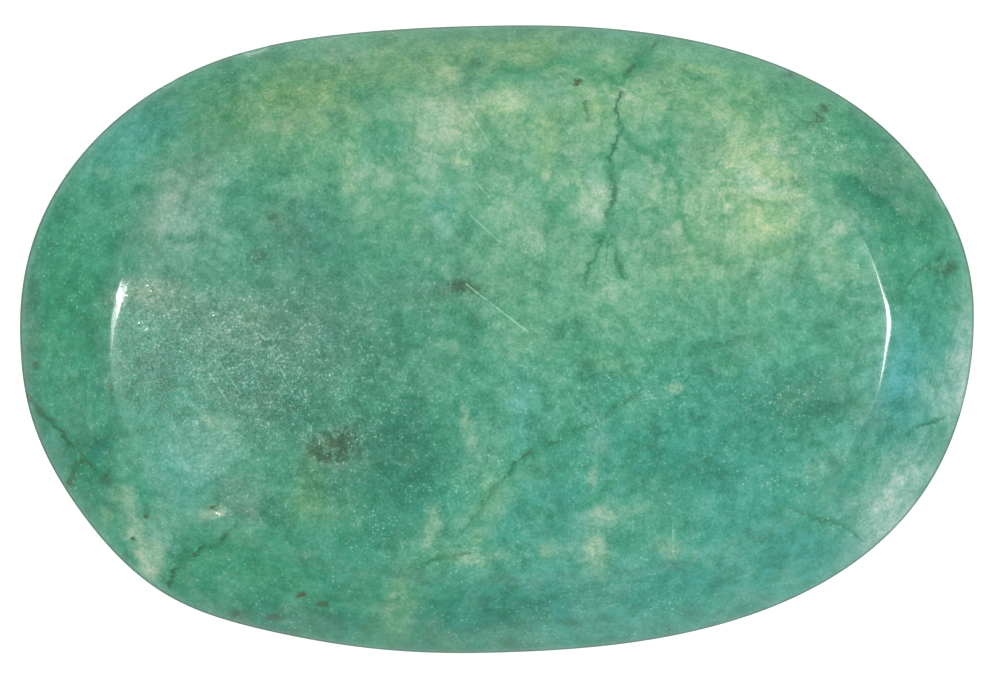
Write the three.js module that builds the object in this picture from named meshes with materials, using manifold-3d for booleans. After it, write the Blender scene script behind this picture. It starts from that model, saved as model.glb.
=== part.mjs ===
// A large oval emerald, cut by hand and polished. A low domed table lies inside a bevelled crown,
// then come a narrow girdle and a rounded underside that ends in a flat foot.
// Millimetres, +Z up. The origin is the middle of the foot, and X runs along the stone.
import * as THREE from "three";
import { mergeVertices } from "three/addons/utils/BufferGeometryUtils.js";
import Module from "manifold-3d";

// Driving dimensions, in millimetres
const THICKNESS = 16;
const TABLE_SAG = 0.9; // how far the table falls from its middle to its edge
const SHARP_EDGE = [0.25, 0.25]; // how far the rounding of the table's edge reaches inwards, outwards
const WORN_EDGE = [1.2, 2.0]; // the same where that edge is worn
const CROWN_FOOT = 10.1; // height at which the bevel turns into the girdle
const GIRDLE_TOP = 9.1;
const GIRDLE_BOTTOM = 8.6;
const FOOT_EDGE = 1.4; // how far the rounding of the foot's edge reaches outwards
const FOOT_LIFT = 0.22; // how far that rounding rises

// Points that the section's curves pull towards, as distances inwards from the girdle
// or outwards from the foot, and upwards
const BEVEL_BULGE = [2.86, 2.25]; // from the bevel's foot
const GIRDLE_ROUNDING = [0.46, 0.43]; // width, and the fall of its corner below the bevel's foot
const BELLY_DROP = 3; // below the girdle
const BELLY_BULGE = [9.5, 1.6]; // from the foot
const FOOT_CORNER = 0.6; // from the foot

// An oval is a superellipse. Turn is in degrees, and a swell is what hand grinding left
// (or took off, if negative), in millimetres, about one direction, in degrees.
const GIRDLE = {
  halfLength: 35.96,
  halfWidth: 23.59,
  squareness: 2.346,
  turn: 1.15,
  swells: [
    { at: 4.3, by: 0.66, over: 12.5 },
    { at: 138, by: 0.8, over: 20 },
    { at: 200, by: -0.645, over: 12.7 },
    { at: 219, by: 0.43, over: 10.7 },
    { at: 260, by: 0.11, over: 21 },
    { at: 356.6, by: -0.605, over: 26 },
  ],
};
const TABLE = {
  halfLength: 29.1,
  halfWidth: 17.95,
  squareness: 2.36,
  turn: 0,
  swells: [
    { at: 2.6, by: 0.62, over: 5 },
    { at: 344.5, by: -0.5, over: 6 },
    { at: 149, by: 0.2, over: 9 },
    { at: 166, by: -0.4, over: 10 },
  ],
};
const FOOT = {
  halfLength: 21,
  halfWidth: 12.6,
  squareness: 2.2,
  turn: 0,
  swells: [],
};

// Where the table's edge is worn: each place has a direction and a spread, in degrees,
// and an amount from 0, which is the sharp edge, to 1, which is the worn one
const WEAR = [
  { at: 167, over: 11, amount: 1 },
  { at: 2.4, over: 5, amount: 0.35 },
];

// Chips are small shell-shaped bites out of the girdle, and pits are bites out of the table
const CHIPS = [
  { at: 17.9, height: 9.7, radius: 1.5, depth: 0.28 },
  { at: 128.4, height: 10.0, radius: 2.2, depth: 0.24 },
  { at: 141.4, height: 9.6, radius: 1.2, depth: 0.22 },
];
const PITS = [
  { x: -21.2, y: -12.9, radius: 0.8, depth: 0.2 },
  { x: 2.0, y: -0.75, radius: 0.6, depth: 0.14 },
];

const SEGMENTS = 112; // round the stone
const SCOOP_DETAIL = 2; // subdivisions of the ball that takes out a chip
const STONE_COLOUR = 0x3f9c7a;

const radians = THREE.MathUtils.degToRad;

// 1 in the direction of a place, falling to nothing on both sides of it
function nearness(place, angle) {
  const turn = angle - radians(place.at);
  const away = Math.atan2(Math.sin(turn), Math.cos(turn));
  return Math.exp(-((away / radians(place.over)) ** 2));
}

// Distance from the middle to an oval's line, in one direction
function reach(oval, angle) {
  const along = Math.abs(Math.cos(angle - radians(oval.turn)) / oval.halfLength);
  const across = Math.abs(Math.sin(angle - radians(oval.turn)) / oval.halfWidth);
  const even = (along ** oval.squareness + across ** oval.squareness) ** (-1 / oval.squareness);
  return oval.swells.reduce((sum, swell) => sum + swell.by * nearness(swell, angle), even);
}

// A ring at a station of the section: it shrinks with the inner oval inside that oval,
// and runs from the inner oval to the girdle outside it
function ringReach(inner, station, angle) {
  if (station <= inner.halfLength)
    return (reach(inner, angle) * station) / inner.halfLength;
  const share = (station - inner.halfLength) / (GIRDLE.halfLength - inner.halfLength);
  return THREE.MathUtils.lerp(reach(inner, angle), reach(GIRDLE, angle), share);
}

// Height of the table at a station of the section
function tableHeight(station) {
  return THICKNESS - TABLE_SAG * (station / TABLE.halfLength) ** 2;
}

// The crown's half of the section along +X, from the middle of the table to the girdle, with
// a sharp or a worn edge to the table. Each curve comes with its number of steps.
function crownSection([inwards, outwards]) {
  const point = (x, z) => new THREE.Vector2(x, z);
  const inside = TABLE.halfLength - inwards;
  const edge = point(TABLE.halfLength, tableHeight(TABLE.halfLength));
  const bulge = point(GIRDLE.halfLength - BEVEL_BULGE[0], CROWN_FOOT + BEVEL_BULGE[1]);
  const bevelTop = edge.clone().lerp(bulge, outwards / (bulge.x - edge.x));
  const bevelBottom = point(GIRDLE.halfLength - GIRDLE_ROUNDING[0], CROWN_FOOT);
  return [
    [new THREE.QuadraticBezierCurve(
      point(0, THICKNESS), point(inside / 2, THICKNESS), point(inside, tableHeight(inside))), 5],
    [new THREE.QuadraticBezierCurve(point(inside, tableHeight(inside)), edge, bevelTop), 4],
    [new THREE.QuadraticBezierCurve(bevelTop, bulge, bevelBottom), 4],
    [new THREE.QuadraticBezierCurve(
      bevelBottom, point(GIRDLE.halfLength, CROWN_FOOT - GIRDLE_ROUNDING[1]),
      point(GIRDLE.halfLength, GIRDLE_TOP)), 3],
  ];
}

// The underside's half of the section, from the girdle to the middle of the foot
function undersideSection() {
  const point = (x, z) => new THREE.Vector2(x, z);
  const footEdge = point(FOOT.halfLength + FOOT_EDGE, FOOT_LIFT);
  return [
    [new THREE.LineCurve(
      point(GIRDLE.halfLength, GIRDLE_TOP), point(GIRDLE.halfLength, GIRDLE_BOTTOM)), 1],
    [new THREE.CubicBezierCurve(
      point(GIRDLE.halfLength, GIRDLE_BOTTOM), point(GIRDLE.halfLength, GIRDLE_BOTTOM - BELLY_DROP),
      point(FOOT.halfLength + BELLY_BULGE[0], BELLY_BULGE[1]), footEdge), 8],
    [new THREE.QuadraticBezierCurve(
      footEdge, point(FOOT.halfLength + FOOT_CORNER, 0), point(FOOT.halfLength, 0)), 2],
    [new THREE.LineCurve(point(FOOT.halfLength, 0), point(0, 0)), 2],
  ];
}

// The points of a row of curves that follow each other
function pointsAlong(curves) {
  return curves.flatMap(([curve, steps], i) => curve.getPoints(steps).slice(i === 0 ? 0 : 1));
}

// A round blank turned from the section, then drawn out so that each ring follows its oval
// and its part of the section is as worn as it should be in its direction
function stoneGeometry() {
  const underside = pointsAlong(undersideSection()).slice(1).reverse();
  const sectionWith = (edge) => [...underside, ...pointsAlong(crownSection(edge)).reverse()];
  const sharp = sectionWith(SHARP_EDGE); // upwards, so that faces point out
  const worn = sectionWith(WORN_EDGE);
  const blank = new THREE.LatheGeometry(sharp, SEGMENTS);
  const places = blank.getAttribute("position");
  for (let i = 0; i < places.count; i++) {
    const turn = (2 * Math.PI * Math.floor(i / sharp.length)) / SEGMENTS;
    const angle = Math.atan2(GIRDLE.halfWidth * Math.sin(turn), GIRDLE.halfLength * Math.cos(turn));
    const wear = WEAR.reduce((sum, place) => sum + place.amount * nearness(place, angle), 0);
    const step = i % sharp.length;
    const { x: station, y: height } = sharp[step].clone().lerp(worn[step], wear);
    const inner = step < underside.length ? FOOT : TABLE;
    const r = ringReach(inner, station, angle);
    places.setXYZ(i, r * Math.cos(angle), r * Math.sin(angle), height);
  }
  return blank;
}

// The ball that takes out a bite: it reaches below the surface at a point by the bite's depth
function ballAt(surface, outward, { radius, depth }) {
  const ball = new THREE.IcosahedronGeometry(radius, SCOOP_DETAIL);
  const centre = surface.clone().addScaledVector(outward, radius - depth);
  return ball.translate(centre.x, centre.y, centre.z);
}

function chipBall(chip) {
  const angle = radians(chip.at);
  const outward = new THREE.Vector3(Math.cos(angle), Math.sin(angle), 0);
  const surface = outward.clone().multiplyScalar(reach(GIRDLE, angle)).setZ(chip.height);
  return ballAt(surface, outward, chip);
}

function pitBall(pit) {
  const angle = Math.atan2(pit.y, pit.x);
  const station = (TABLE.halfLength * Math.hypot(pit.x, pit.y)) / reach(TABLE, angle);
  const surface = new THREE.Vector3(pit.x, pit.y, tableHeight(station));
  return ballAt(surface, new THREE.Vector3(0, 0, 1), pit);
}

const wasm = await Module();
wasm.setup();

function solidOf(geometry) {
  const bare = geometry.clone().deleteAttribute("normal").deleteAttribute("uv");
  const merged = mergeVertices(bare, 1e-3);
  return new wasm.Manifold(new wasm.Mesh({
    numProp: 3,
    vertProperties: merged.getAttribute("position").array,
    triVerts: new Uint32Array(merged.index.array),
  }));
}

function geometryOf(solid) {
  const { vertProperties, triVerts } = solid.getMesh();
  const geometry = new THREE.BufferGeometry();
  geometry.setAttribute("position", new THREE.BufferAttribute(vertProperties, 3));
  geometry.setIndex(new THREE.BufferAttribute(triVerts, 1));
  geometry.computeVertexNormals();
  return geometry;
}

const bites = [...CHIPS.map(chipBall), ...PITS.map(pitBall)];
const solid = bites.reduce((stone, bite) => stone.subtract(solidOf(bite)), solidOf(stoneGeometry()));

const polish = new THREE.MeshStandardMaterial({ color: STONE_COLOUR, roughness: 0.28, metalness: 0 });
const emerald = new THREE.Mesh(geometryOf(solid), polish);
emerald.name = "emerald";

export default new THREE.Group().add(emerald);
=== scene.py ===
"""A polished oval emerald, seen from straight above on a pale floor.

The stone's form repeats the CAD part's ovals and section on a finer mesh. Its zones of colour, pale
clouds, veins and long scratches are placed in the photograph's pixels and broken up by
noise. Its crystals, grain and specks are noise alone.
"""
from math import cos, pi, radians, sin

import bpy
import numpy as np
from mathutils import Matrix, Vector


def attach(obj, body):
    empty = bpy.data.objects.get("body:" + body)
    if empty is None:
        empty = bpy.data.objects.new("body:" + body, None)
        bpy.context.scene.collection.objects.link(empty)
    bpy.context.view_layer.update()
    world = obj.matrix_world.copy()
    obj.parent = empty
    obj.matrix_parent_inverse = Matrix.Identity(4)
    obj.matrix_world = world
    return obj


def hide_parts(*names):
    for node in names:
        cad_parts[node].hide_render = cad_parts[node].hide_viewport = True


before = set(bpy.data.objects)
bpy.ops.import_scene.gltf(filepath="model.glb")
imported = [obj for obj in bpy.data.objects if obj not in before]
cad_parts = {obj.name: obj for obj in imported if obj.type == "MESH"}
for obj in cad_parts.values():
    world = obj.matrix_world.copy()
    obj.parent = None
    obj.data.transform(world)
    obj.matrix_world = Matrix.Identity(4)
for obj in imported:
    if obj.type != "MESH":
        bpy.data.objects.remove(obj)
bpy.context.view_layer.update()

MM = 0.001

# The stone's form, in millimetres
THICKNESS = 16
TABLE_SAG = 0.9
SHARP_EDGE = (0.25, 0.25) # how far the rounding of the table's edge reaches inwards and outwards
WORN_EDGE = (1.2, 2.0) # the same where the edge is worn
CROWN_FOOT = 10.1
GIRDLE_TOP = 9.1
GIRDLE_BOTTOM = 8.6
FOOT_EDGE = 1.4
FOOT_LIFT = 0.22

# Points that the section's curves pull towards, as in the CAD part
BEVEL_BULGE = (2.86, 2.25)
GIRDLE_ROUNDING = (0.46, 0.43)
BELLY_DROP = 3
BELLY_BULGE = (9.5, 1.6)
FOOT_CORNER = 0.6

# Steps of the mesh along each curve of the section. The crown's and the underside's add up to
# the same number.
TABLE_STEPS = 68
TABLE_EDGE_STEPS = 8
BEVEL_STEPS = 18
ROUNDING_STEPS = 4
FOOT_STEPS = 50
FOOT_EDGE_STEPS = 4
BELLY_STEPS = 42
GIRDLE_STEPS = 2

# Ovals: half length, half width, squareness, turn in degrees,
# and swells as (direction in degrees, height in millimetres, spread in degrees)
GIRDLE = (35.96, 23.59, 2.346, 1.15, [
    (4.3, 0.66, 12.5), (138, 0.8, 20), (200, -0.645, 12.7),
    (219, 0.43, 10.7), (260, 0.11, 21), (356.6, -0.605, 26),
])
TABLE = (29.1, 17.95, 2.36, 0, [(2.6, 0.62, 5), (344.5, -0.5, 6), (149, 0.2, 9), (166, -0.4, 10)])
FOOT = (21, 12.6, 2.2, 0, [])

# Bites: direction in degrees and height, or x and y on the table, then radius and depth
CHIPS = [(17.9, 9.7, 1.5, 0.28), (128.4, 10.0, 2.2, 0.24), (141.4, 9.6, 1.2, 0.22)]
PITS = [(-21.2, -12.9, 0.8, 0.2), (2.0, -0.75, 0.6, 0.14)]

# Where the table's edge is worn: direction and spread in degrees, and how far it is worn,
# from 0 for SHARP_EDGE to 1 for WORN_EDGE
WEAR = [(167, 11, 1.0), (2.4, 5, 0.35)]

# The photograph: its size and the stone's place in it, in pixels
PHOTO_SIZE = (1000, 683)
STONE_MIDDLE = (496.5, 338.5)
STONE_PIXELS = 954 # along the stone
MM_PER_PIXEL = 2 * GIRDLE[0] / STONE_PIXELS
CAMERA_DISTANCE = 600 # above the girdle
SENSOR = 36


# Form

def nearness(angle, at, over):
    """1 in the direction at, falling to nothing on both sides of it. Both numbers are in degrees."""
    away = np.angle(np.exp(1j * (angle - radians(at))))
    return np.exp(-((away / radians(over)) ** 2))


def reach(oval, angle):
    """Distance from the middle to the oval's line, in one direction."""
    length, width, squareness, turn, swells = oval
    along = np.abs(np.cos(angle - radians(turn)) / length)
    across = np.abs(np.sin(angle - radians(turn)) / width)
    total = (along**squareness + across**squareness) ** (-1 / squareness)
    for at, by, over in swells:
        total = total + by * nearness(angle, at, over)
    return total


def ring_reach(inner, station, angle):
    """A ring at a station of the section shrinks with the inner oval, or runs from it to the girdle."""
    share = (station - inner[0]) / (GIRDLE[0] - inner[0])
    between = reach(inner, angle) * (1 - share) + reach(GIRDLE, angle) * share
    return np.where(station <= inner[0], reach(inner, angle) * station / inner[0], between)


def table_height(station):
    return THICKNESS - TABLE_SAG * (station / TABLE[0]) ** 2


def bezier(points, steps):
    """Steps + 1 points along a curve with two, three or four control points."""
    points = [np.array(p, float) for p in points]
    t = np.linspace(0, 1, steps + 1)[:, None]
    while len(points) > 1:
        points = [a * (1 - t) + b * t for a, b in zip(points, points[1:])]
    return points[0]


def joined(*curves):
    return np.vstack([curves[0]] + [curve[1:] for curve in curves[1:]])


def crown_section(edge_reach):
    """Station and height from the middle of the table to the girdle's top."""
    inwards, outwards = edge_reach
    inside = TABLE[0] - inwards
    edge = np.array((TABLE[0], table_height(TABLE[0])))
    bulge = np.array((GIRDLE[0] - BEVEL_BULGE[0], CROWN_FOOT + BEVEL_BULGE[1]))
    bevel_top = edge + (bulge - edge) * outwards / (bulge - edge)[0]
    bevel_bottom = (GIRDLE[0] - GIRDLE_ROUNDING[0], CROWN_FOOT)
    return joined(
        bezier([(0, THICKNESS), (inside / 2, THICKNESS), (inside, table_height(inside))], TABLE_STEPS),
        bezier([(inside, table_height(inside)), edge, bevel_top], TABLE_EDGE_STEPS),
        bezier([bevel_top, bulge, bevel_bottom], BEVEL_STEPS),
        bezier([bevel_bottom, (GIRDLE[0], CROWN_FOOT - GIRDLE_ROUNDING[1]), (GIRDLE[0], GIRDLE_TOP)],
               ROUNDING_STEPS),
    )


def underside_section():
    """Station and height from the middle of the foot to the girdle's top."""
    foot_edge = (FOOT[0] + FOOT_EDGE, FOOT_LIFT)
    return joined(
        bezier([(0, 0), (FOOT[0], 0)], FOOT_STEPS),
        bezier([(FOOT[0], 0), (FOOT[0] + FOOT_CORNER, 0), foot_edge], FOOT_EDGE_STEPS),
        bezier([foot_edge, (FOOT[0] + BELLY_BULGE[0], BELLY_BULGE[1]),
                (GIRDLE[0], GIRDLE_BOTTOM - BELLY_DROP), (GIRDLE[0], GIRDLE_BOTTOM)], BELLY_STEPS),
        bezier([(GIRDLE[0], GIRDLE_BOTTOM), (GIRDLE[0], GIRDLE_TOP)], GIRDLE_STEPS),
    )


def square_disc(rings):
    """The ring number and the turn of each point of a square grid that is mapped to a disc."""
    line = np.arange(-rings, rings + 1)
    i, j = np.meshgrid(line, line)
    ring = np.maximum(abs(i), abs(j))
    with np.errstate(divide="ignore", invalid="ignore"):
        flat = pi / 4 * j / i + pi * (i < 0)
        steep = pi / 2 - pi / 4 * i / j + pi * (j < 0)
    return ring, np.nan_to_num(np.where(abs(i) >= abs(j), flat, steep))


def wear(angle):
    total = np.zeros_like(angle)
    for at, over, amount in WEAR:
        total += amount * nearness(angle, at, over)
    return total


def surface_points(section, worn_section, inner):
    """A square grid of points on one side of the stone."""
    ring, turn = square_disc(len(section) - 1)
    angle = np.arctan2(GIRDLE[1] * np.sin(turn), GIRDLE[0] * np.cos(turn))
    worn = wear(angle)[..., None]
    station, height = np.moveaxis(section[ring] * (1 - worn) + worn_section[ring] * worn, -1, 0)
    r = ring_reach(inner, station, angle)
    return np.stack([r * np.cos(angle), r * np.sin(angle), height], axis=-1)


def bitten(points):
    """Moves the points that lie in a bite's ball out to the ball, into the stone."""
    balls = []
    for at, height, radius, depth in CHIPS:
        out = np.array([cos(radians(at)), sin(radians(at)), 0])
        balls.append((out * (reach(GIRDLE, radians(at)) + radius - depth) + (0, 0, height), radius))
    for x, y, radius, depth in PITS:
        angle = np.arctan2(y, x)
        station = TABLE[0] * np.hypot(x, y) / reach(TABLE, angle)
        balls.append((np.array([x, y, table_height(station) + radius - depth]), radius))
    for centre, radius in balls:
        away = points - centre
        distance = np.linalg.norm(away, axis=-1, keepdims=True)
        points = np.where(distance < radius, centre + away / distance * radius, points)
    return points


def stone_mesh():
    """The whole stone as quads: the crown's grid and the underside's grid share the girdle's ring."""
    crown = surface_points(crown_section(SHARP_EDGE), crown_section(WORN_EDGE), TABLE)
    underside = surface_points(underside_section(), underside_section(), FOOT)
    side = crown.shape[0]
    crown_index = np.arange(side * side).reshape(side, side)
    inner = np.zeros((side, side), bool)
    inner[1:-1, 1:-1] = True
    underside_index = crown_index.copy()
    underside_index[inner] = side * side + np.arange(inner.sum())
    points = bitten(np.vstack([crown.reshape(-1, 3), underside[inner]]))

    def quads(index):
        corners = [index[:-1, :-1], index[:-1, 1:], index[1:, 1:], index[1:, :-1]]
        return np.stack([c.ravel() for c in corners], axis=-1)

    faces = np.vstack([quads(crown_index), quads(underside_index)[:, ::-1]])
    mesh = bpy.data.meshes.new("emerald_stone")
    mesh.from_pydata((points * MM).tolist(), [], faces.tolist())
    mesh.shade_smooth()
    return mesh, points


# Colours, as they look in the photograph (0 to 255)

EXPOSURE = 0.93 # light that comes back from a white surface
VEIL = 0.045 # light that the polish adds
DARKEST = 0.002 # the least light that a surface colour gives back


def seen(red, green, blue):
    """The surface colour, as linear light, that looks like this in the picture."""
    display = np.array([red, green, blue]) / 255
    linear = np.where(display > 0.04045, ((display + 0.055) / 1.055) ** 2.4, display / 12.92)
    return tuple(np.clip((linear - VEIL) / EXPOSURE, DARKEST, 1).tolist())


GREEN = seen(84, 163, 133)
SLATE = seen(82, 147, 123)
TEAL = seen(70, 157, 137)
TURQUOISE = seen(74, 165, 150)
DEEP = seen(55, 131, 109)
SEA = seen(84, 165, 150)
BLUE = seen(92, 174, 171)
LILAC = seen(158, 200, 188)
PINK = seen(136, 170, 152)
MAUVE = seen(104, 138, 122)
OLIVE = seen(112, 160, 114)
MOSS = seen(118, 174, 128)
SAGE = seen(134, 186, 149)
LEAF = seen(70, 152, 118)
SEAM = seen(56, 148, 108)
STRAW = seen(164, 199, 149)
CREAM = seen(166, 200, 170)
SHELL = seen(176, 192, 156)
GLINT = seen(172, 224, 198)
BROWN = seen(76, 92, 70)
RUSTY = seen(84, 104, 80)
VEIN = seen(40, 100, 76)
# Painted shade: the dark grey line of the girdle's steep side
PAINTED_GIRDLE_SHADE = seen(66, 84, 74)


# Marks

ZONE_STRENGTH = 1.12 # how far zones stand out from the stone's green
LINE_REACH = 26 # pixels on each side of a line in which it is still known

# Drifts that bend the marks' outlines: size in millimetres, and seed
WIDE_DRIFT = (7, 1)
NARROW_DRIFT = (2.5, 2)
DRIFT_WAVES = 40
NORMAL_LENGTH = 1.7 # about the length of a random direction whose three parts vary by 1
ZONE_BEND = (5, 4) # pixels that the wide and the narrow drift move the zones
CLOUD_BEND = 2 # pixels that the narrow drift moves the other clouds

# The underside's marks give way to the top's between these heights, in millimetres
TOP_FADE = (4, 8)

# Parts of the stone, as shares of the way from its middle to the table's edge or to the girdle
TABLE_FADE = (1.02, 0.97)
TABLE_EDGE_SPREAD = 0.035
# Where the girdle is frosted, and where a dark line of shade is painted along its side
FROSTED_AND_SHADED = (0.993, 0.998)
RIM_BAND = (0.93, 0.995)
RIM_FADE = (9.3, 9.6) # heights, in millimetres, between which the painted shade of the girdle's outline sets in


def photo_pixels(points):
    """Where points of the stone show in the photograph."""
    enlarged = CAMERA_DISTANCE / (CAMERA_DISTANCE + GIRDLE_TOP - points[:, 2])
    middle = np.array(PHOTO_SIZE) / 2
    offset = np.array(STONE_MIDDLE) - middle
    return middle + (points[:, :2] * (1, -1) / MM_PER_PIXEL + offset) * enlarged[:, None]


def clouds(pixels, marks):
    """Soft ovals: (x, y, half length, half width, turn in degrees, amount), in pixels."""
    total = np.zeros(len(pixels))
    for x, y, length, width, turn, amount in marks:
        u, v = (pixels - (x, y)).T
        c, s = cos(radians(turn)), sin(radians(turn))
        along, across = (u * c - v * s) / length, (u * s + v * c) / width
        total += amount * np.exp(-(along**2 + across**2))
    return total


def lines(pixels, marks):
    """The nearest line's signed distance in millimetres, its strength and its half width in millimetres.

    Each mark is (strength, half width in pixels, points).
    """
    nearest = np.full(len(pixels), 1e9)
    signed = np.zeros(len(pixels))
    strength = np.zeros(len(pixels))
    width = np.ones(len(pixels))
    for amount, half_width, route in marks:
        for step, (a, b) in enumerate(zip(route, route[1:])):
            a, b = np.array(a, float), np.array(b, float)
            along = b - a
            share = (pixels - a) @ along / (along @ along)
            past_end = (share < 0) & (step == 0) | (share > 1) & (step == len(route) - 2)
            gap = pixels - (a + np.clip(share, 0, 1)[:, None] * along)
            distance = np.linalg.norm(gap, axis=1)
            side = np.sign(along[0] * gap[:, 1] - along[1] * gap[:, 0])
            closer = distance < nearest
            nearest[closer] = distance[closer]
            signed[closer] = (side * distance)[closer]
            strength[closer] = np.where(past_end, 0, amount)[closer]
            width[closer] = half_width
    near = np.clip(1 - (nearest / LINE_REACH) ** 2, 0, 1)
    return np.stack([signed * MM_PER_PIXEL, strength * near, width * MM_PER_PIXEL], axis=-1)


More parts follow.
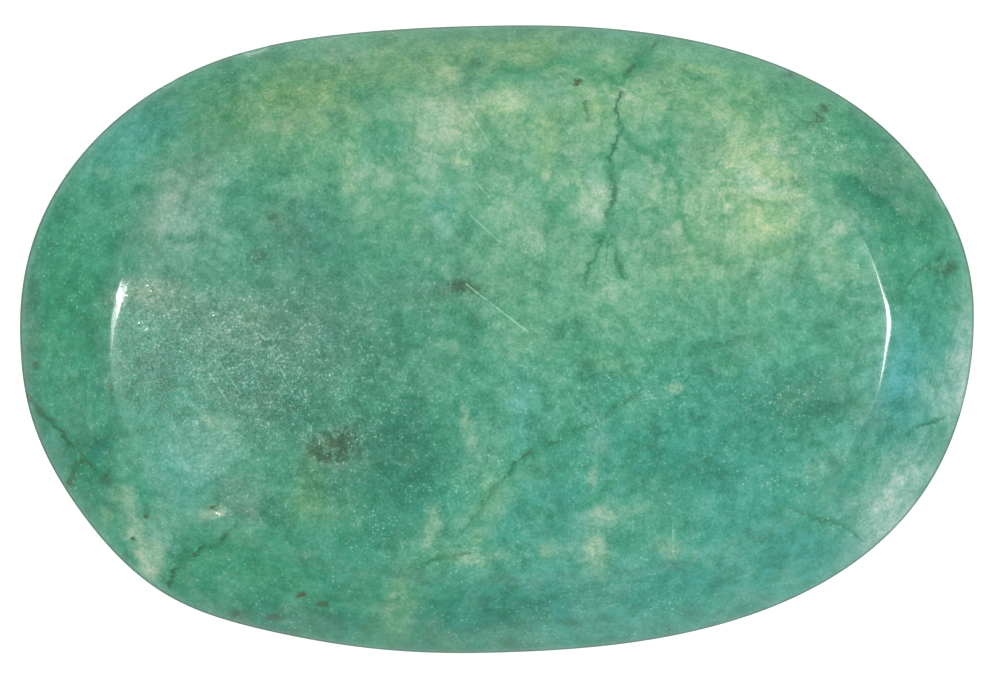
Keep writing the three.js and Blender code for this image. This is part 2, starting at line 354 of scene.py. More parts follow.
# Zones of colour: each colour with its soft ovals, in the order in which they are laid down
ZONES = [
    (SLATE, [(290, 330, 190, 130, 0, 0.9)]),
    (TEAL, [(720, 450, 180, 90, 0, 0.8), (500, 560, 200, 60, 0, 0.6), (150, 440, 90, 60, 0, 0.3)]),
    (DEEP, [(430, 640, 150, 20, -4, 0.8), (240, 616, 100, 20, -18, 0.9), (640, 634, 130, 18, 8, 0.8),
            (800, 596, 100, 20, 26, 0.8), (520, 30, 240, 12, 0, 0.5), (210, 78, 110, 12, 22, 0.5),
            (810, 88, 110, 12, -26, 0.5), (60, 460, 60, 24, -60, 0.7), (30, 330, 110, 12, 88, 0.5)]),
    (SEA, [(790, 560, 120, 50, 12, 0.9), (600, 600, 120, 36, 0, 0.7), (534, 588, 24, 24, 0, 0.5),
           (330, 560, 60, 24, 0, 0.3), (490, 205, 44, 30, 0, 0.4)]),
    (SAGE, [(640, 215, 170, 80, 0, 0.65), (440, 165, 110, 66, 0, 0.65), (806, 246, 44, 34, 0, 0.4),
            (560, 150, 80, 50, 0, 0.4), (590, 300, 110, 50, 0, 0.3), (522, 350, 26, 30, 0, 0.2)]),
    (OLIVE, [(300, 95, 130, 42, 14, 0.95), (520, 50, 150, 24, 0, 0.8), (306, 485, 20, 40, -10, 0.6),
             (330, 510, 40, 20, 0, 0.3)]),
    (MOSS, [(710, 95, 120, 40, -12, 0.9), (520, 120, 60, 40, 0, 0.5), (760, 220, 70, 50, 0, 0.6),
            (400, 600, 24, 34, -20, 0.7), (330, 150, 60, 44, 0, 0.5), (600, 115, 60, 40, 0, 0.4)]),
    (LEAF, [(64, 290, 42, 120, 5, 0.9), (888, 195, 46, 70, 25, 0.9), (270, 580, 120, 36, -14, 0.9),
            (940, 455, 16, 34, 30, 0.9), (95, 480, 30, 30, 0, 0.6), (150, 80, 40, 16, 30, 0.4)]),
    (PINK, [(182, 200, 34, 44, -20, 0.75), (345, 54, 24, 12, 0, 0.4), (215, 165, 26, 20, 0, 0.3)]),
    (BLUE, [(905, 385, 32, 60, -8, 0.9), (135, 135, 44, 26, 40, 0.45), (518, 410, 12, 40, 0, 0.4),
            (548, 620, 30, 14, 0, 0.4), (190, 480, 34, 22, -20, 0.35), (438, 216, 14, 22, 0, 0.5)]),
    (DEEP, [(395, 462, 36, 66, 5, 0.9), (72, 446, 22, 40, 40, 0.9), (318, 232, 30, 38, 20, 0.6),
            (155, 116, 34, 16, 36, 0.4), (490, 612, 60, 24, 0, 0.9), (600, 596, 60, 14, 0, 0.4),
            (882, 440, 26, 22, 0, 0.5), (785, 405, 70, 24, 8, 0.5), (703, 365, 24, 18, 0, 0.5),
            (898, 180, 30, 44, 30, 0.75), (270, 400, 60, 40, 0, 0.8), (150, 372, 50, 26, 0, 0.85),
            (840, 300, 40, 24, 0, 0.35), (660, 480, 40, 16, 0, 0.3), (310, 335, 70, 26, 0, 0.5),
            (350, 540, 60, 30, 0, 0.4), (810, 395, 40, 30, 0, 0.4)]),
    (SAGE, [(392, 606, 18, 24, -20, 0.4), (762, 232, 50, 40, 0, 0.9), (500, 112, 30, 16, 0, 0.7),
            (640, 108, 30, 20, 0, 0.8), (702, 206, 34, 36, 0, 0.45), (480, 553, 40, 14, 0, 0.45)]),
    (DEEP, [(440, 612, 34, 16, 0, 0.8), (318, 620, 34, 12, 0, 0.7), (668, 242, 24, 20, 0, 0.45),
            (655, 75, 24, 14, 0, 0.4), (470, 272, 26, 12, 0, 0.3), (710, 315, 24, 14, 0, 0.3),
            (335, 480, 30, 20, 0, 0.3)]),
    (SEA, [(552, 502, 44, 30, 0, 0.6), (735, 500, 34, 26, 0, 0.5), (855, 520, 30, 20, 0, 0.4)]),
    (TEAL, [(792, 288, 26, 18, 0, 0.6), (780, 582, 80, 26, 20, 0.8), (700, 604, 60, 18, 0, 0.7),
            (440, 612, 40, 16, 0, 0.5), (880, 440, 20, 18, 0, 0.7), (960, 355, 10, 30, 0, 0.5)]),
    (DEEP, [(400, 452, 34, 40, 0, 0.8), (820, 402, 34, 20, 0, 0.3), (760, 414, 40, 18, 0, 0.2),
            (320, 622, 40, 14, 0, 0.6), (270, 402, 44, 30, 0, 0.4), (80, 440, 18, 18, 0, 0.6),
            (900, 190, 24, 30, 0, 0.3), (440, 614, 34, 12, 0, 0.5), (390, 350, 24, 24, 0, 0.3)]),
    (DEEP, [(247, 505, 20, 14, 0, 0.6), (462, 277, 32, 14, 0, 0.45), (342, 475, 20, 16, 0, 0.5),
            (300, 257, 26, 20, -20, 0.5), (363, 308, 20, 14, 0, 0.4), (348, 590, 24, 18, 0, 0.5),
            (879, 418, 18, 18, 0, 0.5), (210, 131, 22, 16, 0, 0.45), (649, 77, 16, 14, 0, 0.4),
            (865, 164, 18, 16, 0, 0.4), (438, 628, 30, 12, 0, 0.5), (276, 620, 20, 10, 0, 0.5),
            (103, 382, 14, 18, 0, 0.3), (841, 509, 18, 14, 0, 0.35), (366, 100, 18, 14, 0, 0.3)]),
    (LEAF, [(560, 102, 14, 14, 0, 0.55), (670, 256, 18, 28, 0, 0.5), (740, 241, 16, 16, 0, 0.35),
            (576, 54, 22, 10, 0, 0.5), (481, 509, 14, 18, 0, 0.4)]),
    (TEAL, [(546, 630, 26, 12, 0, 0.5), (882, 508, 14, 12, 0, 0.3)]),
    (SAGE, [(610, 367, 28, 14, 0, 0.45), (920, 183, 14, 20, 20, 0.45), (331, 203, 18, 18, 0, 0.3),
            (762, 339, 20, 16, 0, 0.35), (531, 467, 16, 12, 0, 0.35), (497, 570, 16, 12, 0, 0.3),
            (74, 387, 14, 18, 0, 0.3), (640, 152, 14, 14, 0, 0.4), (804, 238, 20, 14, 0, 0.5)]),
    # Mauve: greyish pink in the stone. The ovals at (155, 302), (225, 318) and (310, 330) paint the
    # greyish-pink haze of reflected light on the table's left
    (MAUVE, [(28, 330, 8, 80, 0, 0.5), (155, 302, 44, 20, 0, 0.6), (225, 318, 60, 36, 0, 0.4),
             (290, 230, 36, 34, 0, 0.35), (310, 330, 60, 40, 0, 0.35), (245, 502, 28, 20, 0, 0.55),
             (440, 292, 50, 20, 0, 0.35), (150, 245, 24, 30, 0, 0.4), (330, 445, 50, 30, 0, 0.3)]),
    (STRAW, [(765, 235, 46, 38, 0, 0.35), (756, 162, 40, 40, 0, 0.4), (700, 212, 40, 36, 0, 0.25),
             (640, 108, 40, 18, 0, 0.35), (590, 118, 34, 22, 0, 0.4), (445, 122, 60, 24, 0, 0.35),
             (345, 110, 26, 22, 0, 0.3), (785, 185, 24, 16, 0, 0.5), (690, 268, 30, 20, 0, 0.25),
             (380, 180, 40, 16, 0, 0.2), (490, 490, 20, 30, 0, 0.2), (446, 545, 26, 18, 0, 0.15),
             (762, 250, 28, 14, 0, 0.35), (430, 60, 40, 12, 0, 0.2), (540, 62, 40, 12, 0, 0.2)]),
    # Shell: pale cream in the stone. The oval at (150, 300) paints a pale streak of reflected light beside
    # the left glint
    (SHELL, [(462, 104, 26, 22, 0, 0.45), (434, 124, 22, 20, 0, 0.5), (300, 120, 34, 16, 0, 0.15),
             (400, 150, 30, 14, 0, 0.25), (560, 80, 24, 12, 0, 0.1), (214, 508, 11, 9, 0, 0.35),
             (150, 300, 34, 12, 0, 0.25), (752, 148, 30, 18, 0, 0.2), (445, 75, 20, 12, 0, 0.3),
             (782, 182, 20, 14, 0, 0.35), (702, 145, 20, 14, 0, 0.35), (340, 55, 20, 8, 0, 0.35)]),
    # Lilac: pale patches of the stone. The ovals at (963, 362) and (940, 385) paint a pale crescent of light
    # along the right bevel
    (LILAC, [(200, 236, 30, 24, 0, 0.25), (598, 444, 14, 16, 0, 0.3), (166, 535, 22, 20, 0, 0.35),
             (475, 450, 16, 24, 0, 0.2), (902, 490, 50, 24, 62, 1.0), (884, 524, 28, 18, 40, 1.0),
             (963, 362, 60, 12, 86, 1.0), (940, 385, 16, 30, 0, 0.6), (205, 452, 34, 26, 0, 0.3),
             (602, 516, 26, 16, 0, 0.4), (865, 211, 16, 14, 0, 0.3), (829, 466, 18, 14, 0, 0.25),
             (580, 549, 20, 14, 0, 0.25), (754, 603, 22, 10, 0, 0.25)]),
]

# Pale patches, and those that lean to yellow
PALE = [
    # The first oval, in the pit near the lower left, paints the pit's white highlight
    (220, 512, 6, 5, 0, 1.2), (126, 498, 12, 20, 0, 0.7), (140, 535, 14, 26, 0, 0.8),
    (150, 562, 15, 18, 0, 1.2), (110, 492, 14, 14, 0, 0.4), (594, 202, 20, 28, -20, 0.95),
    (438, 122, 26, 28, 0, 1.1), (430, 160, 22, 34, 0, 0.45), (385, 176, 28, 18, 0, 0.8),
    (510, 215, 30, 26, 0, 0.45), (349, 170, 11, 38, 0, 0.25), (430, 532, 8, 20, -20, 0.8),
    (394, 598, 10, 26, -30, 0.7), (470, 557, 32, 11, 0, 0.45), (494, 556, 20, 8, 0, 0.35),
    (60, 482, 12, 10, 0, 0.25), (464, 412, 7, 18, 0, 0.8), (472, 444, 10, 14, 0, 0.5),
    (594, 478, 8, 18, 0, 0.75), (608, 512, 16, 10, 0, 0.6), (595, 548, 17, 28, 0, 0.9),
    (596, 448, 6, 10, 0, 0.5), (548, 550, 14, 13, 0, 0.95), (472, 484, 18, 8, 0, 0.55),
    (511, 545, 8, 12, 0, 0.4), (668, 550, 26, 20, 0, 0.85), (534, 236, 14, 26, -20, 0.6),
    (172, 198, 20, 30, -30, 0.4), (675, 389, 9, 7, 0, 0.9), (222, 432, 20, 20, 0, 0.5),
    (454, 345, 7, 14, 0, 0.5), (632, 100, 22, 16, 0, 0.7), (645, 185, 22, 26, 0, 0.4),
    (607, 60, 14, 9, 0, 0.7), (577, 108, 14, 16, 0, 0.4), (598, 120, 12, 14, 0, 0.5),
    (690, 262, 20, 14, 0, 0.6), (610, 290, 24, 16, 0, 0.5), (432, 505, 10, 14, 0, 0.4),
    (745, 330, 22, 16, 0, 0.4), (103, 173, 12, 10, 0, 0.4), (745, 175, 16, 20, 0, 0.9),
    (780, 148, 20, 14, 0, 1.0), (775, 190, 22, 12, 0, 1.1), (843, 225, 18, 12, 0, 0.8),
    (818, 175, 14, 8, 0, 0.5), (840, 150, 16, 14, 0, 0.4), (205, 330, 20, 30, 0, 0.3),
    (505, 100, 22, 14, 0, 0.8), (520, 250, 20, 22, 0, 0.4), (560, 240, 12, 16, 0, 0.5),
    (470, 160, 14, 30, 0, 0.4), (740, 240, 30, 16, 0, 0.3), (850, 458, 14, 10, 0, 0.4),
    (813, 470, 20, 12, 0, 0.4), (700, 440, 22, 14, 0, 0.3), (652, 340, 18, 12, 0, 0.5),
    (535, 586, 9, 13, 0, 0.45), (606, 602, 20, 12, 0, 0.25), (244, 530, 9, 7, 0, 0.5),
    (308, 554, 15, 7, 0, 0.55), (362, 546, 9, 9, 0, 0.35), (548, 174, 5, 6, 0, 0.8),
    (415, 229, 9, 8, 0, 0.5), (213, 417, 9, 8, 0, 0.4), (412, 303, 12, 10, 0, 0.4),
    (196, 370, 11, 9, 0, 0.4), (148, 397, 8, 7, 0, 0.5), (152, 377, 8, 6, 0, 0.3),
    (385, 371, 12, 7, 0, 0.35),
]
YELLOW = [
    (479, 533, 10, 12, 0, 0.6), (106, 516, 9, 12, 0, 0.5), (463, 161, 11, 5, 0, 1.0),
    (548, 174, 5, 6, 0, 0.6), (775, 190, 22, 14, 0, 0.5), (757, 160, 44, 34, 0, 0.9),
    (768, 222, 36, 24, 0, 0.8), (700, 68, 40, 6, -8, 0.8), (548, 138, 13, 34, -8, 0.75),
    (590, 130, 24, 26, 0, 0.5), (325, 90, 13, 14, 0, 0.5), (300, 130, 50, 18, 0, 0.3),
    (700, 210, 36, 40, 0, 0.35), (350, 165, 16, 40, 0, 0.45), (508, 102, 26, 18, 0, 1.0),
    (720, 110, 40, 12, -10, 0.5), (490, 560, 16, 8, 0, 0.4), (640, 400, 40, 12, -30, 0.25),
    (310, 500, 14, 24, 0, 0.2), (445, 75, 14, 10, 0, 0.5),
]
# Brown smudges, and spots of rust
SMUDGE = [
    (338, 446, 24, 18, 16, 1.8), (316, 452, 18, 10, 0, 0.55), (330, 462, 40, 26, 0, 0.25),
    (346, 434, 12, 8, 16, 0.6), (464, 289, 28, 11, -6, 1.4), (277, 219, 8, 13, 10, 1.7),
    (257, 256, 8, 9, 0, 1.6), (789, 285, 6, 5, 0, 0.9), (943, 268, 14, 10, 10, 1.3),
    (160, 94, 16, 5, 40, 0.8), (242, 616, 10, 6, -15, 1.7), (274, 618, 10, 6, 0, 1.7),
    (323, 602, 7, 4, 0, 1.4), (258, 57, 12, 3, 14, 1.2), (103, 476, 8, 8, 0, 1.0),
    (358, 64, 12, 12, 0, 0.6), (240, 100, 10, 14, 0, 0.3), (76, 450, 6, 8, 0, 0.8),
    (68, 484, 5, 6, 0, 0.7), (581, 288, 5, 5, 0, 0.7), (560, 82, 8, 6, 0, 0.5),
    (819, 114, 14, 7, 38, 1.9), (316, 602, 8, 6, 0, 1.0), (788, 74, 9, 5, 30, 1.3),
    (440, 208, 10, 8, 0, 0.3),
]
RUST = [
    (37, 364, 5, 7, 0, 1.0), (112, 388, 4, 7, 0, 1.1), (146, 516, 4, 5, 0, 1.1),
    (135, 538, 4, 4, 0, 1.0), (163, 577, 4, 4, 0, 1.1), (301, 594, 6, 5, 0, 1.0),
    (275, 620, 8, 4, 0, 0.6), (578, 83, 6, 5, 0, 1.2), (212, 505, 8, 6, 0, 1.1),
    (427, 122, 6, 5, 0, 0.4),
]
# Where crystals and the seams between them show
CRYSTALLINE = [
    (640, 190, 200, 100, 0, 0.9), (420, 150, 110, 70, 0, 0.6), (600, 510, 120, 60, 0, 0.4),
    (890, 480, 60, 60, 0, 0.4), (850, 200, 80, 80, 0, 0.3),
]
# Where bright specks gather, partly pale grains and partly painted sparkle, and where more of the table's
# crystals tilt steeply
SUGARED = [
    (463, 161, 14, 7, 0, 1.5), (362, 546, 12, 12, 0, 0.8), (472, 484, 20, 10, 0, 0.5),
    (445, 555, 40, 14, 0, 0.4), (756, 165, 34, 24, -10, 1.0), (842, 150, 50, 22, -24, 1.0),
    (700, 190, 34, 24, 0, 0.6), (465, 480, 40, 24, 0, 0.7), (665, 605, 50, 12, 6, 0.8),
    (440, 205, 24, 12, 0, 0.5), (160, 320, 60, 40, 0, 0.6), (640, 400, 60, 30, 0, 0.5),
    (510, 95, 26, 20, 0, 0.6), (780, 420, 90, 40, 0, 0.4), (300, 150, 50, 30, 0, 0.4),
    (480, 545, 30, 16, 0, 0.7), (270, 390, 130, 90, 0, 0.5), (175, 300, 44, 12, -8, 0.8),
]
# Where the polish has worn off
MATT = [
    (144, 244, 14, 34, -24, 1.0), (128, 268, 8, 12, -20, 0.4),
]
# Where fine scratches show
SCRATCHED = [
    (272, 362, 30, 42, 0, 1.0), (216, 380, 22, 34, 0, 0.8), (140, 360, 26, 30, 0, 0.6),
    (240, 300, 60, 20, 0, 0.5), (470, 130, 20, 30, 0, 0.6), (420, 330, 60, 40, 0, 0.3),
]
# Where the table's grain stands out
FLECKED = [
    (230, 340, 120, 60, 0, 1.0), (330, 400, 110, 90, 0, 0.5), (165, 302, 50, 18, -6, 0.8),
    (250, 450, 110, 60, 0, 0.4), (620, 400, 200, 90, 0, 0.25), (760, 180, 90, 50, 0, 0.4),
]

# Dark veins, green seams and pale scratches: (strength, half width in pixels, points)
VEINS = [
    (1.5, 4.0, [(659, 36), (649, 52), (634, 65), (625, 78)]),
    (1.15, 2.8, [(620, 90), (616, 110), (620, 127), (612, 148), (609, 159), (613, 179), (614, 193),
                 (609, 214), (604, 235)]),
    (1.5, 3.5, [(26, 392), (33, 406), (60, 429), (75, 448), (82, 459), (103, 476)]),
    (1.6, 2.8, [(236, 524), (229, 529), (221, 544), (205, 549), (191, 555), (174, 570), (169, 588)]),
    (0.6, 3.5, [(640, 392), (612, 410), (584, 428), (560, 440)]),
    (0.9, 3.2, [(560, 440), (540, 451), (520, 458), (510, 474)]),
    (0.5, 3.2, [(510, 474), (496, 486), (476, 516), (456, 536)]),
    (0.6, 3.0, [(778, 507), (803, 513), (819, 519), (831, 520), (850, 529), (862, 538)]),
    (0.65, 3.5, [(893, 303), (906, 287), (924, 268), (946, 250)]),
    (0.9, 1.8, [(905, 436), (922, 425), (946, 418)]),
    (0.3, 2.0, [(725, 195), (750, 198), (776, 204), (800, 203)]),
]
SIDE_VEINS = [
    (1.0, 3.2, [(604, 235), (592, 262), (583, 290)]),
    (1.5, 3.5, [(82, 459), (74, 472), (69, 486)]),
    (0.7, 2, [(445, 55), (459, 57)]),
    (0.7, 2.6, [(587, 100), (586, 124)]),
    (0.7, 2.5, [(420, 566), (440, 556), (472, 554)]),
    (0.8, 3, [(612, 242), (620, 266), (625, 280)]),
    (0.5, 3, [(835, 195), (850, 206), (865, 221)]),
]
SEAMS = [
    (1.0, 6, [(619, 131), (639, 148), (666, 162), (680, 180), (679, 214), (694, 245)]),
    (0.8, 5, [(671, 100), (670, 124), (673, 159)]),
    (1.5, 9, [(575, 184), (552, 214), (538, 235), (521, 256)]),
    (0.8, 8, [(392, 120), (392, 155), (404, 200), (440, 200)]),
    (0.7, 6, [(352, 80), (364, 108), (380, 128)]),
    (0.9, 7, [(500, 66), (530, 74), (560, 60), (600, 72), (625, 84)]),
    (0.6, 6, [(694, 245), (720, 262), (756, 258), (790, 240)]),
    (0.7, 7, [(560, 320), (590, 345), (640, 355), (700, 350), (740, 370)]),
    (0.6, 6, [(430, 300), (480, 330), (520, 300), (560, 262)]),
    (0.6, 8, [(330, 520), (350, 560), (380, 580)]),
    (0.6, 7, [(640, 440), (600, 500), (560, 520), (520, 500)]),
]
SCRATCHES = [
    (1.0, 0.9, [(466, 284), (528, 332)]), (0.9, 0.9, [(469, 214), (500, 242)]),
    (0.65, 0.9, [(469, 110), (490, 145)]), (0.6, 0.9, [(476, 182), (490, 198)]),
    (0.7, 0.8, [(497, 96), (508, 112)]), (0.6, 0.8, [(673, 522), (673, 556)]),
    (0.5, 0.8, [(633, 514), (633, 533)]), (0.4, 0.8, [(114, 352), (130, 372)]),
    (0.8, 0.8, [(262, 334), (284, 374)]), (0.7, 0.8, [(267, 329), (283, 357)]),
    (0.6, 0.8, [(208, 372), (228, 402)]), (0.5, 0.8, [(222, 366), (241, 395)]),
    (0.5, 0.8, [(276, 360), (293, 393)]),
]

# Attributes of the mesh, and the marks that each one holds
CLOUDS = {
    "pale": PALE, "yellow": YELLOW, "smudge": SMUDGE, "rust": RUST, "crystalline": CRYSTALLINE,
    "sugared": SUGARED, "matt": MATT, "scratched": SCRATCHED, "flecked": FLECKED,
}
LINES = {"veins": VEINS, "side_veins": SIDE_VEINS, "seams": SEAMS, "scratches": SCRATCHES}


def store(mesh, name, values):
    kind, key = ("FLOAT", "value") if values.ndim == 1 else ("FLOAT_VECTOR", "vector")
    layer = mesh.attributes.new(name, kind, "POINT")
    layer.data.foreach_set(key, values.astype(np.float32).ravel())


def ramp(value, low, high):
    """Rises from 0 to 1 as the value goes from low to high."""
    return np.clip((value - low) / (high - low), 0, 1)


def drift(points, size, seed):
    """A smooth random offset in two directions, mostly between -1 and 1, over size millimetres."""
    random = np.random.default_rng(seed)
    waves = random.normal(size=(DRIFT_WAVES, 3)) * (2 * pi / size / NORMAL_LENGTH)
    phases = random.uniform(0, 2 * pi, (DRIFT_WAVES, 2))
    turns = points @ waves.T
    sums = [np.sin(turns + phases[:, k]).sum(axis=1) for k in (0, 1)]
    return np.stack(sums, axis=-1) / DRIFT_WAVES**0.5


def zone_colours(pixels):
    colours = np.tile(np.array(GREEN), (len(pixels), 1))
    for colour, ovals in ZONES:
        cover = np.clip(clouds(pixels, ovals), 0, 1)[:, None]
        colours = colours * (1 - cover) + np.array(colour) * cover
    return np.clip(GREEN + (colours - GREEN) * ZONE_STRENGTH, DARKEST, 1)


def mark(mesh, points):
    """Stores every kind of mark on the stone's vertices. The underside takes the top's marks, turned."""
    pixels = photo_pixels(points)
    wide, narrow = drift(points, *WIDE_DRIFT), drift(points, *NARROW_DRIFT)
    shifted = pixels + wide * ZONE_BEND[0] + narrow * ZONE_BEND[1]
    near = pixels + narrow * CLOUD_BEND
    turned = 2 * np.array(STONE_MIDDLE) - shifted
    height = points[:, 2]
    top = ramp(height, *TOP_FADE)
    share = top[:, None]
    store(mesh, "zone", zone_colours(shifted) * share + zone_colours(turned) * (1 - share))
    for name, marks in CLOUDS.items():
        store(mesh, name, clouds(near, marks) * top + clouds(turned, marks) * (1 - top))
    for name, marks in LINES.items():
        values = lines(pixels, marks)
        values[:, 1] *= top
        store(mesh, name, values)

    angle = np.arctan2(points[:, 1], points[:, 0])
    out = np.hypot(points[:, 0], points[:, 1])
    table_share = out / reach(TABLE, angle)
    rim_share = out / reach(GIRDLE, angle)
    above = height > GIRDLE_TOP
    store(mesh, "on_table", ramp(table_share, *TABLE_FADE) * above)
    store(mesh, "table_edge", np.exp(-(((table_share - 1) / TABLE_EDGE_SPREAD) ** 2)) * above)
    store(mesh, "girdle", ramp(rim_share, *FROSTED_AND_SHADED))
    # Painted shade: the dark line along the girdle's side
    store(mesh, "rim_painted_shade", ramp(rim_share, *FROSTED_AND_SHADED) * ramp(height, *RIM_FADE))
    store(mesh, "rim_band", ramp(rim_share, *RIM_BAND))


# Material

# Noises: size in millimetres, detail, roughness, shift and distortion
WIDE = (11, 3, 0.5, 3, 0)
CLOUD = (2.6, 6, 0.6, 11, 0.3)
FINE = (0.9, 3, 0.6, 23, 0)
GRAIN = (0.22, 2, 0.6, 31, 0)
RAGGED = (1.7, 8, 0.68, 47, 0.5)
HAIR = (1.0, 1, 0.5, 0, 0)
WEAVE = (0.42, 1, 0.5, 59, 0.6)
SUGAR = (3.5, 4, 0.6, 83, 0)
PORES = (0.16, 2, 0.6, 71, 0)

# Cells that stand for crystals, by their size in millimetres
CRYSTAL = 2.7
PATCH = 0.8
SPECK = 0.2
FACET = 0.15

# The noise that bends the outlines of crystals and patches, and how far it moves them
BEND_NOISE = {"Scale": 0.9, "Detail": 3.0, "Roughness": 0.6}
CRYSTAL_BEND = 2.2

# Tints of single crystals: which random channel picks them, how much at most, and the colour
CRYSTAL_TINTS = [(0, 0.32, CREAM), (1, 0.36, LEAF), (2, 0.3, TURQUOISE)]

HAIR_TURN = 60 # degrees that the fine scratches are turned
HAIR_COMB = (0.35, 7, 1) # below 1 draws them out along an axis, and above 1 makes them thin
GAP_SOFTNESS = 0.12 # of the breaks in veins, seams and scratches
CONTRAST = (1.9, 0.7, 1.0) # how much more or less each channel varies than the grain's lightness
BERYL_IOR = 1.57
POLISH_ROUGHNESS = 0.06


class Graph:
    """Short ways to add shader nodes. An input is a value or another node's output."""

    def __init__(self, name):
        self.material = bpy.data.materials.new(name)
        self.material.use_nodes = True
        self.tree = self.material.node_tree
        self.tree.nodes.clear()

    def add(self, kind, inputs, **settings):
        node = self.tree.nodes.new("ShaderNode" + kind)
        for name, value in settings.items():
            setattr(node, name, value)
        for key, value in inputs.items():
            if isinstance(value, bpy.types.NodeSocket):
                self.tree.links.new(value, node.inputs[key])
            else:
                node.inputs[key].default_value = value
        return node

    def math(self, operation, a, b=0.0, clamp=False):
        return self.add("Math", {0: a, 1: b}, operation=operation, use_clamp=clamp).outputs[0]

    def times(self, a, b, clamp=False):
        return self.math("MULTIPLY", a, b, clamp)

    def plus(self, a, b):
        return self.math("ADD", a, b)

    def minus(self, a, b, clamp=False):
        return self.math("SUBTRACT", a, b, clamp)

    def vector_math(self, operation, a, b=(0, 0, 0), scale=None):
        inputs = {0: a, 1: b} if scale is None else {0: a, "Scale": scale}
        return self.add("VectorMath", inputs, operation=operation).outputs[0]

    def step(self, value, low, high, to_low=0.0, to_high=1.0):
        """Goes smoothly from to_low to to_high as the value goes from low to high."""
        inputs = {"Value": value, "From Min": low, "From Max": high, "To Min": to_low, "To Max": to_high}
        return self.add("MapRange", inputs, interpolation_type="SMOOTHSTEP").outputs["Result"]

    def attribute(self, name):
        return self.add("Attribute", {}, attribute_name=name)

    def value_of(self, name):
        return self.attribute(name).outputs["Fac"]

    def noise(self, where, size, detail, roughness, shift, distortion):
        """Noise between 0 and 1 whose features are about size millimetres wide."""
        moved = self.vector_math("ADD", where, (shift, 2 * shift, -shift))
        inputs = {"Vector": moved, "Scale": 1 / size, "Detail": detail, "Roughness": roughness,
                  "Distortion": distortion}
        return self.add("TexNoise", inputs).outputs["Fac"]

    def cells(self, where, size, feature="F1"):
        """Cells about size millimetres wide, each with a colour of its own."""
        return self.add("TexVoronoi", {"Vector": where, "Scale": 1 / size}, feature=feature).outputs

    def channels(self, colour):
        return self.add("SeparateColor", {"Color": colour}).outputs

    def mix(self, factor, a, b, blend="MIX"):
        node = self.add("Mix", {"Factor": factor}, data_type="RGBA", blend_type=blend)
        for socket, value in [(node.inputs[6], a), (node.inputs[7], b)]:
            if isinstance(value, bpy.types.NodeSocket):
                self.tree.links.new(value, socket)
            else:
                socket.default_value = (*value, 1)
        return node.outputs[2]


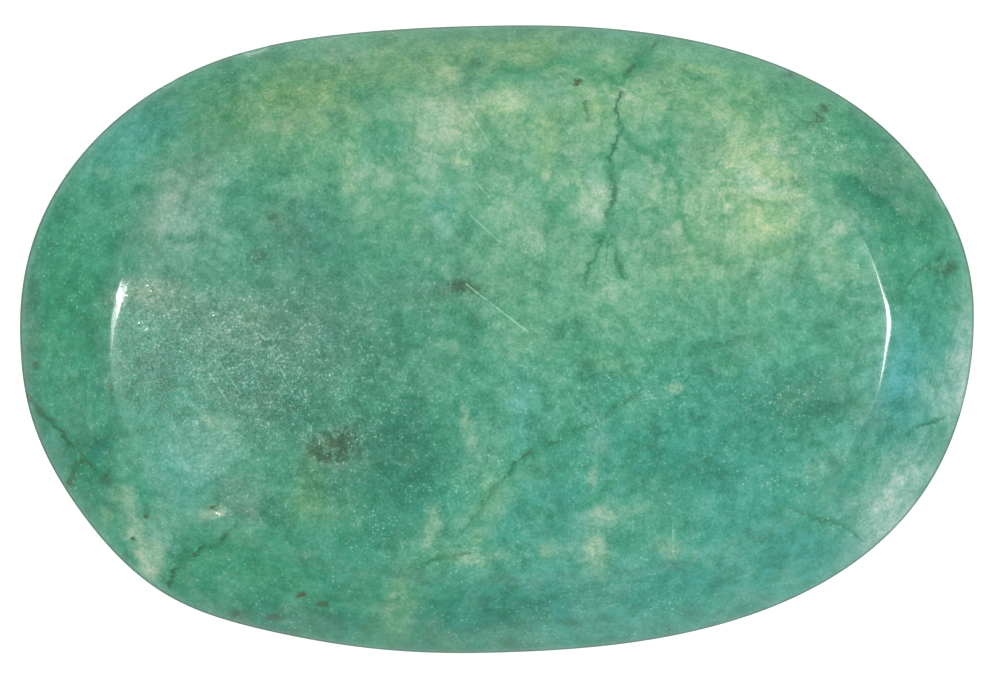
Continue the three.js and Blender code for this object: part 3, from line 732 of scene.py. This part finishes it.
class StoneGraph(Graph):
    """The stone's material, layer by layer, with the noises and crystals that its layers share."""

    def __init__(self, name):
        super().__init__(name)
        place = self.add("TexCoord", {}).outputs["Object"]
        self.where = self.vector_math("SCALE", place, scale=1 / MM)
        self.cloud = self.noise(self.where, *CLOUD)
        self.fine = self.noise(self.where, *FINE)
        self.grain = self.noise(self.where, *GRAIN)
        self.ragged = self.noise(self.where, *RAGGED)
        bend = self.add("TexNoise", {"Vector": self.where, **BEND_NOISE}).outputs["Color"]
        bend = self.vector_math("SCALE", bend, scale=CRYSTAL_BEND)
        self.bent = self.vector_math("ADD", self.where, bend)
        self.kind = self.channels(self.cells(self.bent, CRYSTAL)["Color"])
        self.crystalline = self.step(self.value_of("crystalline"), 0.0, 1.0, 0.25, 1.0)

    def spread(self, name, low, high, raggedness=0.9):
        """A listed cloud with its edge broken up by noise and by the crystals."""
        by_noise = self.times(self.minus(self.ragged, 0.5), raggedness)
        by_crystal = self.times(self.minus(self.kind[2], 0.5), 0.4)
        rough_edge = self.plus(by_noise, by_crystal)
        present = self.step(self.value_of(name), 0.0, 0.25)
        pushed = self.plus(self.value_of(name), self.times(rough_edge, present))
        return self.step(pushed, low, high)

    def line(self, name, widening, wobble, keep):
        """A line with soft sides, wobbling and broken, widening times as wide as its mark says."""
        parts = self.add("SeparateXYZ", {"Vector": self.attribute(name).outputs["Vector"]}).outputs
        shake = self.times(self.minus(self.fine, 0.5), wobble)
        off = self.math("ABSOLUTE", self.plus(parts["X"], shake))
        width = self.times(parts["Z"], self.step(self.ragged, 0.3, 0.7, 0.4, 1.7))
        drawn = self.step(self.math("DIVIDE", off, width), 0.0, widening, 1.0, 0.0)
        gaps = self.step(self.cloud, keep - GAP_SOFTNESS, keep + GAP_SOFTNESS)
        return self.times(self.times(drawn, parts["Y"]), gaps, clamp=True)

    def crystals(self):
        """The zones' colour, with crystals paler or deeper than it and greener seams between them."""
        colour = self.attribute("zone").outputs["Color"]
        wide = self.noise(self.where, *WIDE)
        colour = self.mix(self.step(wide, 0.5, 0.75, 0.0, 0.25), colour, TEAL)
        for channel, amount, tint in CRYSTAL_TINTS:
            share = self.step(self.kind[channel], 0.5, 0.95, 0.0, amount)
            colour = self.mix(self.times(share, self.crystalline), colour, tint)
        border = self.cells(self.bent, CRYSTAL, feature="DISTANCE_TO_EDGE")["Distance"]
        between = self.times(self.step(border, 0.0, 0.18, 1.0, 0.0), self.crystalline)
        between = self.times(between, self.step(self.cloud, 0.4, 0.6, 0.15, 0.6))
        colour = self.mix(between, colour, SEAM)
        milky = self.times(self.step(self.cloud, 0.5, 0.8, 0.0, 0.35), self.crystalline)
        colour = self.mix(milky, colour, CREAM)
        return self.mix(self.step(self.cloud, 0.5, 0.25, 0.0, 0.55), colour, DEEP)

    def marks(self, colour):
        """Seams, yellow and pale patches, dotted smudges, rust and veins."""
        colour = self.mix(self.times(self.line("seams", 1.3, 0.8, 0.3), 0.6), colour, SEAM)
        colour = self.mix(self.spread("yellow", 0.15, 1.3, 0.5), colour, STRAW)
        colour = self.mix(self.spread("pale", 0.2, 1.3, 0.5), colour, CREAM)
        dots = self.step(self.plus(self.fine, self.times(self.grain, 0.5)), 0.85, 0.65, 0.3, 0.7)
        colour = self.mix(self.times(self.spread("smudge", 0.1, 1.5, 1.1), dots), colour, BROWN)
        colour = self.mix(self.spread("rust", 0.4, 1.0), colour, RUSTY)
        for name in ("veins", "side_veins"):
            colour = self.mix(self.times(self.line(name, 3.0, 1.3, 0.3), 0.5), colour, SEAM)
            colour = self.mix(self.times(self.line(name, 1.1, 1.3, 0.47), 0.75), colour, VEIN)
        return colour

    def scratches(self, colour):
        """Fine parallel scratches, and a few long ones."""
        inputs = {"Vector": self.where, "Angle": radians(HAIR_TURN)}
        turned = self.add("VectorRotate", inputs, rotation_type="Z_AXIS").outputs[0]
        combed = self.vector_math("MULTIPLY", turned, HAIR_COMB)
        fine = self.step(self.noise(combed, *HAIR), 0.66, 0.72)
        fine = self.times(fine, self.times(self.value_of("scratched"), 0.3))
        long = self.times(self.line("scratches", 1.2, 0.0, 0.3), 0.6)
        return self.mix(self.math("MAXIMUM", fine, long), colour, GLINT)

    def grains(self, colour):
        """Short bright flecks, bright specks and dark dents, and small crystals lighter or darker. The
        bright flecks and specks are partly pale grains and partly painted sparkle.
        """
        flecked = self.value_of("flecked")
        sugar = self.plus(self.noise(self.where, *SUGAR), self.times(self.value_of("sugared"), 0.2))
        sugar = self.step(sugar, 0.45, 0.72, 0.35, 1.0)
        weave = self.math("ABSOLUTE", self.minus(self.noise(self.where, *WEAVE), 0.5))
        fleck = self.times(self.step(weave, 0.0, 0.03, 0.75, 0.0), self.step(self.fine, 0.42, 0.6))
        strokes = self.plus(self.times(flecked, 0.7), self.times(sugar, 0.3))
        strokes = self.times(strokes, self.step(self.grain, 0.35, 0.6))
        colour = self.mix(self.times(fleck, strokes, clamp=True), colour, GLINT)

        # Bright specks: partly pale grains, partly painted sparkle of the polish
        cells = self.cells(self.where, SPECK)
        pick = self.channels(cells["Color"])
        speck = self.times(self.step(pick[0], 0.74, 1.0), self.step(cells["Distance"], 0.15, 0.55, 1.0, 0.0))
        colour = self.mix(self.times(self.times(speck, sugar), 0.66), colour, GLINT)
        dent = self.times(self.step(pick[1], 0.8, 0.98), self.step(cells["Distance"], 0.1, 0.7, 0.3, 0.0))

        grainy = self.minus(self.plus(1.0, self.times(flecked, 0.35)), self.times(self.crystalline, 0.3))
        from_fine = self.times(self.step(self.fine, 0.28, 0.72, -0.2, 0.2), grainy)
        from_grain = self.times(self.step(self.grain, 0.25, 0.75, -0.2, 0.2), grainy)
        lightness = self.plus(from_fine, from_grain)
        patch = self.channels(self.cells(self.bent, PATCH)["Color"])[0]
        mosaic = self.times(self.minus(patch, 0.5), self.times(self.crystalline, 0.2))
        lightness = self.plus(lightness, mosaic)
        lightness = self.plus(lightness, self.step(self.cloud, 0.3, 0.7, 0.88, 1.12))
        lightness = self.minus(lightness, self.times(dent, sugar))
        by_channel = {i: self.math("POWER", lightness, power) for i, power in enumerate(CONTRAST)}
        return self.mix(1.0, colour, self.add("CombineColor", by_channel).outputs[0], "MULTIPLY")

    def rim_painted_shade(self, colour):
        # A band of deeper green towards the outline, then painted shade: a dark grey line along the girdle's
        # steep side
        colour = self.mix(self.times(self.value_of("rim_band"), 0.12), colour, DEEP)
        return self.mix(self.times(self.value_of("rim_painted_shade"), 0.8), colour, PAINTED_GIRDLE_SHADE)

    def glitter(self):
        """The normal. The table's crystals stand at slightly different angles, a few at steep ones."""
        facets = self.cells(self.where, FACET)["Color"]
        sugared = self.step(self.value_of("sugared"), 0.0, 0.7, 0.05, 0.26)
        steep = self.times(self.math("POWER", self.channels(facets)[2], 8.0), sugared)
        inside = self.minus(self.value_of("on_table"), self.value_of("table_edge"), clamp=True)
        amount = self.times(self.step(inside, 0.0, 1.0, 0.15, 1.0), self.plus(steep, 0.02))
        tilt = self.vector_math("SUBTRACT", facets, (0.5, 0.5, 0.5))
        normal = self.add("NewGeometry", {}).outputs["Normal"]
        tilted = self.vector_math("ADD", normal, self.vector_math("SCALE", tilt, scale=amount))
        return self.vector_math("NORMALIZE", tilted)

    def polish(self):
        """Gloss and roughness: a pored shine on the table, and none on the girdle and where it has worn."""
        pores = self.step(self.noise(self.where, *PORES), 0.46, 0.58, 0.0, 0.9)
        gloss = self.step(self.value_of("on_table"), 0.0, 1.0, 0.12, pores)
        gloss = self.step(self.value_of("table_edge"), 0.2, 0.9, gloss, 0.9)
        dull = self.math("MAXIMUM", self.value_of("girdle"), self.value_of("matt"))
        gloss = self.step(dull, 0.0, 0.7, gloss, 0.0)
        roughness = self.step(dull, 0.0, 0.9, self.step(self.fine, 0.3, 0.7, 0.16, 0.26), 0.65)
        return gloss, roughness


def stone_material():
    g = StoneGraph("polished_beryl")
    colour = g.crystals()
    for layer in (g.marks, g.scratches, g.grains, g.rim_painted_shade):
        colour = layer(colour)
    glitter = g.glitter()
    gloss, roughness = g.polish()
    shader = g.add("BsdfPrincipled", {
        "Base Color": colour,
        "Roughness": roughness,
        "IOR": BERYL_IOR,
        "Normal": glitter,
        "Coat Weight": gloss,
        "Coat Roughness": POLISH_ROUGHNESS,
        "Coat IOR": BERYL_IOR,
        "Coat Normal": glitter,
    })
    g.add("OutputMaterial", {"Surface": shader.outputs[0]})
    return g.material


# Scene

FLOOR_HALF = 3 # metres
FLOOR_GAP = 0.0001 # metres below the stone
WORLD_LIGHT = 0.63
LIGHT_DISTANCE = 0.35 # metres

# Softboxes: azimuth and tilt off the vertical in degrees, size in metres, power in watts and
# spin in degrees
LIGHTS = {
    "left_softbox": (165.5, 29.6, (0.15, 0.014), 0.135, -8.2),
    "left_strip": (172, 29.6, (0.12, 0.022), 0.045, -8.2),
    "right_softbox": (3, 27, (0.10, 0.06), 0.3, 0),
    "dim_card": (195.3, 14.4, (0.065, 0.08), 0.003, -38),
    "near_card": (184, 11.9, (0.065, 0.03), 0.008, -27),
}


def make_stone():
    mesh, points = stone_mesh()
    mark(mesh, points)
    mesh.materials.append(stone_material())
    stone = bpy.data.objects.new("emerald_stone", mesh)
    bpy.context.scene.collection.objects.link(stone)
    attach(stone, "root")
    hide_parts("emerald")


def make_camera():
    data = bpy.data.cameras.new("camera")
    data.sensor_width = SENSOR
    data.lens = SENSOR * CAMERA_DISTANCE / (PHOTO_SIZE[0] * MM_PER_PIXEL)
    camera = bpy.data.objects.new("camera", data)
    bpy.context.scene.collection.objects.link(camera)
    x = (PHOTO_SIZE[0] / 2 - STONE_MIDDLE[0]) * MM_PER_PIXEL
    y = (STONE_MIDDLE[1] - PHOTO_SIZE[1] / 2) * MM_PER_PIXEL
    camera.location = Vector((x, y, CAMERA_DISTANCE + GIRDLE_TOP)) * MM
    bpy.context.scene.camera = camera


def make_floor():
    g = Graph("pale_floor")
    shader = g.add("BsdfPrincipled", {
        "Base Color": (0.3, 0.3, 0.3, 1),
        "Roughness": 0.8,
        "Emission Color": (1, 1, 1, 1),
        "Emission Strength": 0.9,
    })
    g.add("OutputMaterial", {"Surface": shader.outputs[0]})
    mesh = bpy.data.meshes.new("floor")
    corners = [(x * FLOOR_HALF, y * FLOOR_HALF, 0) for x, y in [(-1, -1), (1, -1), (1, 1), (-1, 1)]]
    mesh.from_pydata(corners, [], [(0, 1, 2, 3)])
    mesh.materials.append(g.material)
    floor = bpy.data.objects.new("floor", mesh)
    floor.location.z = -FLOOR_GAP
    bpy.context.scene.collection.objects.link(floor)


def soft_light(name, azimuth, tilt, size, power, spin):
    """A rectangular softbox that faces the stone."""
    data = bpy.data.lights.new(name, "AREA")
    data.shape = "RECTANGLE"
    data.size, data.size_y = size
    data.energy = power
    light = bpy.data.objects.new(name, data)
    bpy.context.scene.collection.objects.link(light)
    a, t = radians(azimuth), radians(tilt)
    light.location = Vector((cos(a) * sin(t), sin(a) * sin(t), cos(t))) * LIGHT_DISTANCE
    light.rotation_euler = (0, t, a)
    light.rotation_euler.rotate_axis("Z", radians(spin))


def make_lights():
    world = bpy.data.worlds.new("studio")
    world.use_nodes = True
    background = world.node_tree.nodes["Background"].inputs
    background["Color"].default_value = (1, 1, 1, 1)
    background["Strength"].default_value = WORLD_LIGHT
    bpy.context.scene.world = world
    for name, values in LIGHTS.items():
        soft_light(name, *values)


make_stone()
make_camera()
make_floor()
make_lights()
bpy.context.scene.view_settings.view_transform = "Standard"
